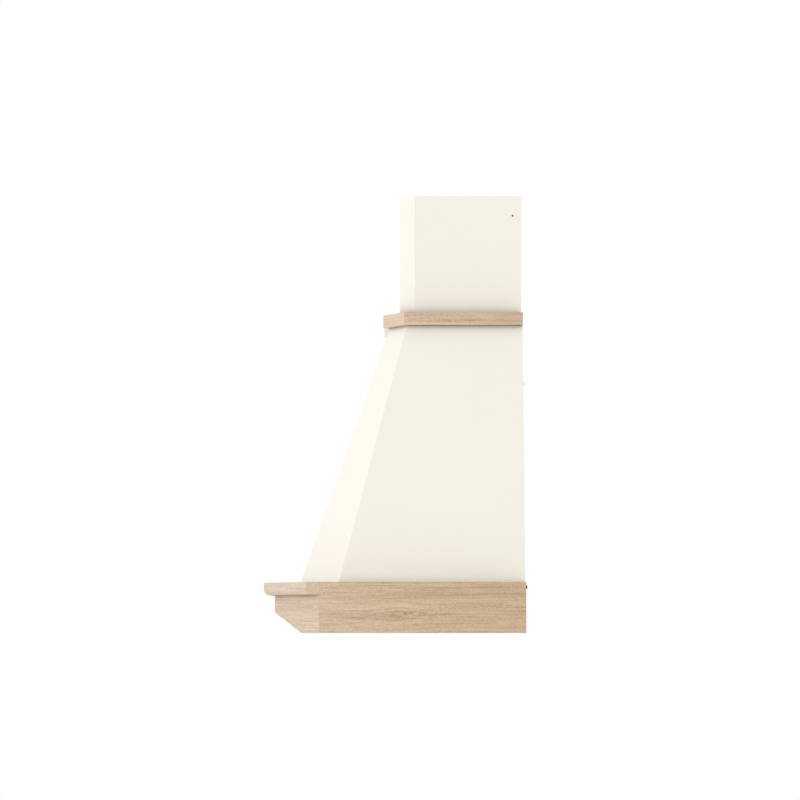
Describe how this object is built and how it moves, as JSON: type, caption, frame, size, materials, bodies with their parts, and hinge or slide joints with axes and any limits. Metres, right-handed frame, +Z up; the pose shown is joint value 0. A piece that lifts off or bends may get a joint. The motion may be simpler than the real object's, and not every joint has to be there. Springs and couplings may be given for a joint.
{
  "type": "wooden range hood cover",
  "caption": "Wall range hood cover: painted tapered body with chamfered corners on a bare wood frame with shelf moulding, wood cornice, sliding chimney and built-in extractor.",
  "frame": {"origin": "on the wall plane, on the centre line, level with the lower edge of the wood frame", "axes": "+X along the wall to the right as seen from the front, +Y into the wall, +Z up"},
  "size_m": [0.6, 0.5225, 0.882],
  "materials": {
    "bare_oak": "bare sanded oak, unvarnished",
    "brushed_trim": "brushed stainless",
    "buffer_rubber": "moulded",
    "button_plastic": "satin",
    "cream_paint": "smooth satin cream paint on fibreboard",
    "dark_plastic": "moulded, matt",
    "filter_aluminium": "expanded mesh in a satin frame",
    "galvanised_steel": "galvanised sheet, dull",
    "lamp_chrome": "polished",
    "lamp_glass": "frosted",
    "motor_enamel": "black enamel",
    "pad_plastic": "soft beige",
    "panel_plastic": "fine textured",
    "plywood": "birch plywood",
    "shaft_steel": "ground",
    "softwood": "planed softwood"
  },
  "bodies": {
    "cover": {"body_corner_battens": "softwood", "body_corner_panel_left": "cream_paint", "body_corner_panel_right": "cream_paint", "body_front_panel": "cream_paint", "body_hanging_rail": "softwood", "body_lower_rail": "softwood", "body_side_panel_left": "cream_paint", "body_side_panel_right": "cream_paint", "chimney_rest_battens": "softwood", "control_panel": "panel_plastic", "cornice_corner_left": "bare_oak", "cornice_corner_right": "bare_oak", "cornice_front": "bare_oak", "cornice_side_left": "bare_oak", "cornice_side_right": "bare_oak", "fan_motor": "motor_enamel", "fan_scroll": "galvanised_steel", "frame_back_rail": "bare_oak", "frame_corner_board_left": "bare_oak", "frame_corner_board_right": "bare_oak", "frame_front_board": "bare_oak", "frame_side_board_left": "bare_oak", "frame_side_board_right": "bare_oak", "insert_battens": "softwood", "insert_board": "plywood", "insert_casing": "galvanised_steel", "insert_pan": "galvanised_steel", "insert_trim": "brushed_trim", "lamp_bezels": "lamp_chrome", "lamp_lenses": "lamp_glass", "ledge_corner_board_left": "bare_oak", "ledge_corner_board_right": "bare_oak", "ledge_front_board": "bare_oak", "ledge_side_board_left": "bare_oak", "ledge_side_board_right": "bare_oak", "outlet_collar": "galvanised_steel", "shelf_moulding_corner_left": "bare_oak", "shelf_moulding_corner_right": "bare_oak", "shelf_moulding_front": "bare_oak", "wall_buffers": "buffer_rubber", "wall_pads": "pad_plastic"},
    "chimney": {"chimney_corner_panel_left": "cream_paint", "chimney_corner_panel_right": "cream_paint", "chimney_front_panel": "cream_paint", "chimney_side_panel_left": "cream_paint", "chimney_side_panel_right": "cream_paint", "chimney_wall_bracket": "galvanised_steel"},
    "fan": {"fan_shaft": "shaft_steel", "fan_wheel": "dark_plastic"},
    "damper_front": {"damper_flap_front": "dark_plastic"},
    "damper_back": {"damper_flap_back": "dark_plastic"},
    "filter_right": {"grease_filter_right": "filter_aluminium"},
    "filter_left": {"grease_filter_left": "filter_aluminium"},
    "button_light": {"button_light": "button_plastic"},
    "button_off": {"button_off": "button_plastic"},
    "button_speed_1": {"button_speed_1": "button_plastic"},
    "button_speed_2": {"button_speed_2": "button_plastic"},
    "button_speed_3": {"button_speed_3": "button_plastic"}
  },
  "joints": [
    {"name": "chimney_slide", "type": "slide", "parent": "cover", "child": "chimney", "axis": [0, 0, 1], "range_m": [0, 0.1]},
    {"name": "fan_spin", "type": "hinge", "parent": "cover", "child": "fan", "pos_m": [0, -0.1675, 0.1485], "axis": [1, 0, 0], "continuous": true},
    {"name": "damper_front_hinge", "type": "hinge", "parent": "cover", "child": "damper_front", "pos_m": [0, -0.128, 0.2498], "axis": [-1, 0, 0], "range_deg": [0, 80]},
    {"name": "damper_back_hinge", "type": "hinge", "parent": "cover", "child": "damper_back", "pos_m": [0, -0.128, 0.2498], "axis": [1, 0, 0], "range_deg": [0, 80]},
    {"name": "filter_right_tilt", "type": "hinge", "parent": "cover", "child": "filter_right", "pos_m": [0.1195, -0.063, 0.0485], "axis": [1, 0, 0], "range_deg": [0, 75]},
    {"name": "filter_left_tilt", "type": "hinge", "parent": "cover", "child": "filter_left", "pos_m": [-0.1195, -0.063, 0.0485], "axis": [1, 0, 0], "range_deg": [0, 75]},
    {"name": "button_light_press", "type": "slide", "parent": "cover", "child": "button_light", "axis": [0, 0, 1], "range_m": [0, 0.002], "stiffness_N_per_m": 400, "springref_m": -0.002},
    {"name": "button_off_press", "type": "slide", "parent": "cover", "child": "button_off", "axis": [0, 0, 1], "range_m": [0, 0.002], "stiffness_N_per_m": 400, "springref_m": -0.002},
    {"name": "button_speed_1_press", "type": "slide", "parent": "cover", "child": "button_speed_1", "axis": [0, 0, 1], "range_m": [0, 0.002], "stiffness_N_per_m": 400, "springref_m": -0.002},
    {"name": "button_speed_2_press", "type": "slide", "parent": "cover", "child": "button_speed_2", "axis": [0, 0, 1], "range_m": [0, 0.002], "stiffness_N_per_m": 400, "springref_m": -0.002},
    {"name": "button_speed_3_press", "type": "slide", "parent": "cover", "child": "button_speed_3", "axis": [0, 0, 1], "range_m": [0, 0.002], "stiffness_N_per_m": 400, "springref_m": -0.002}
  ]
}
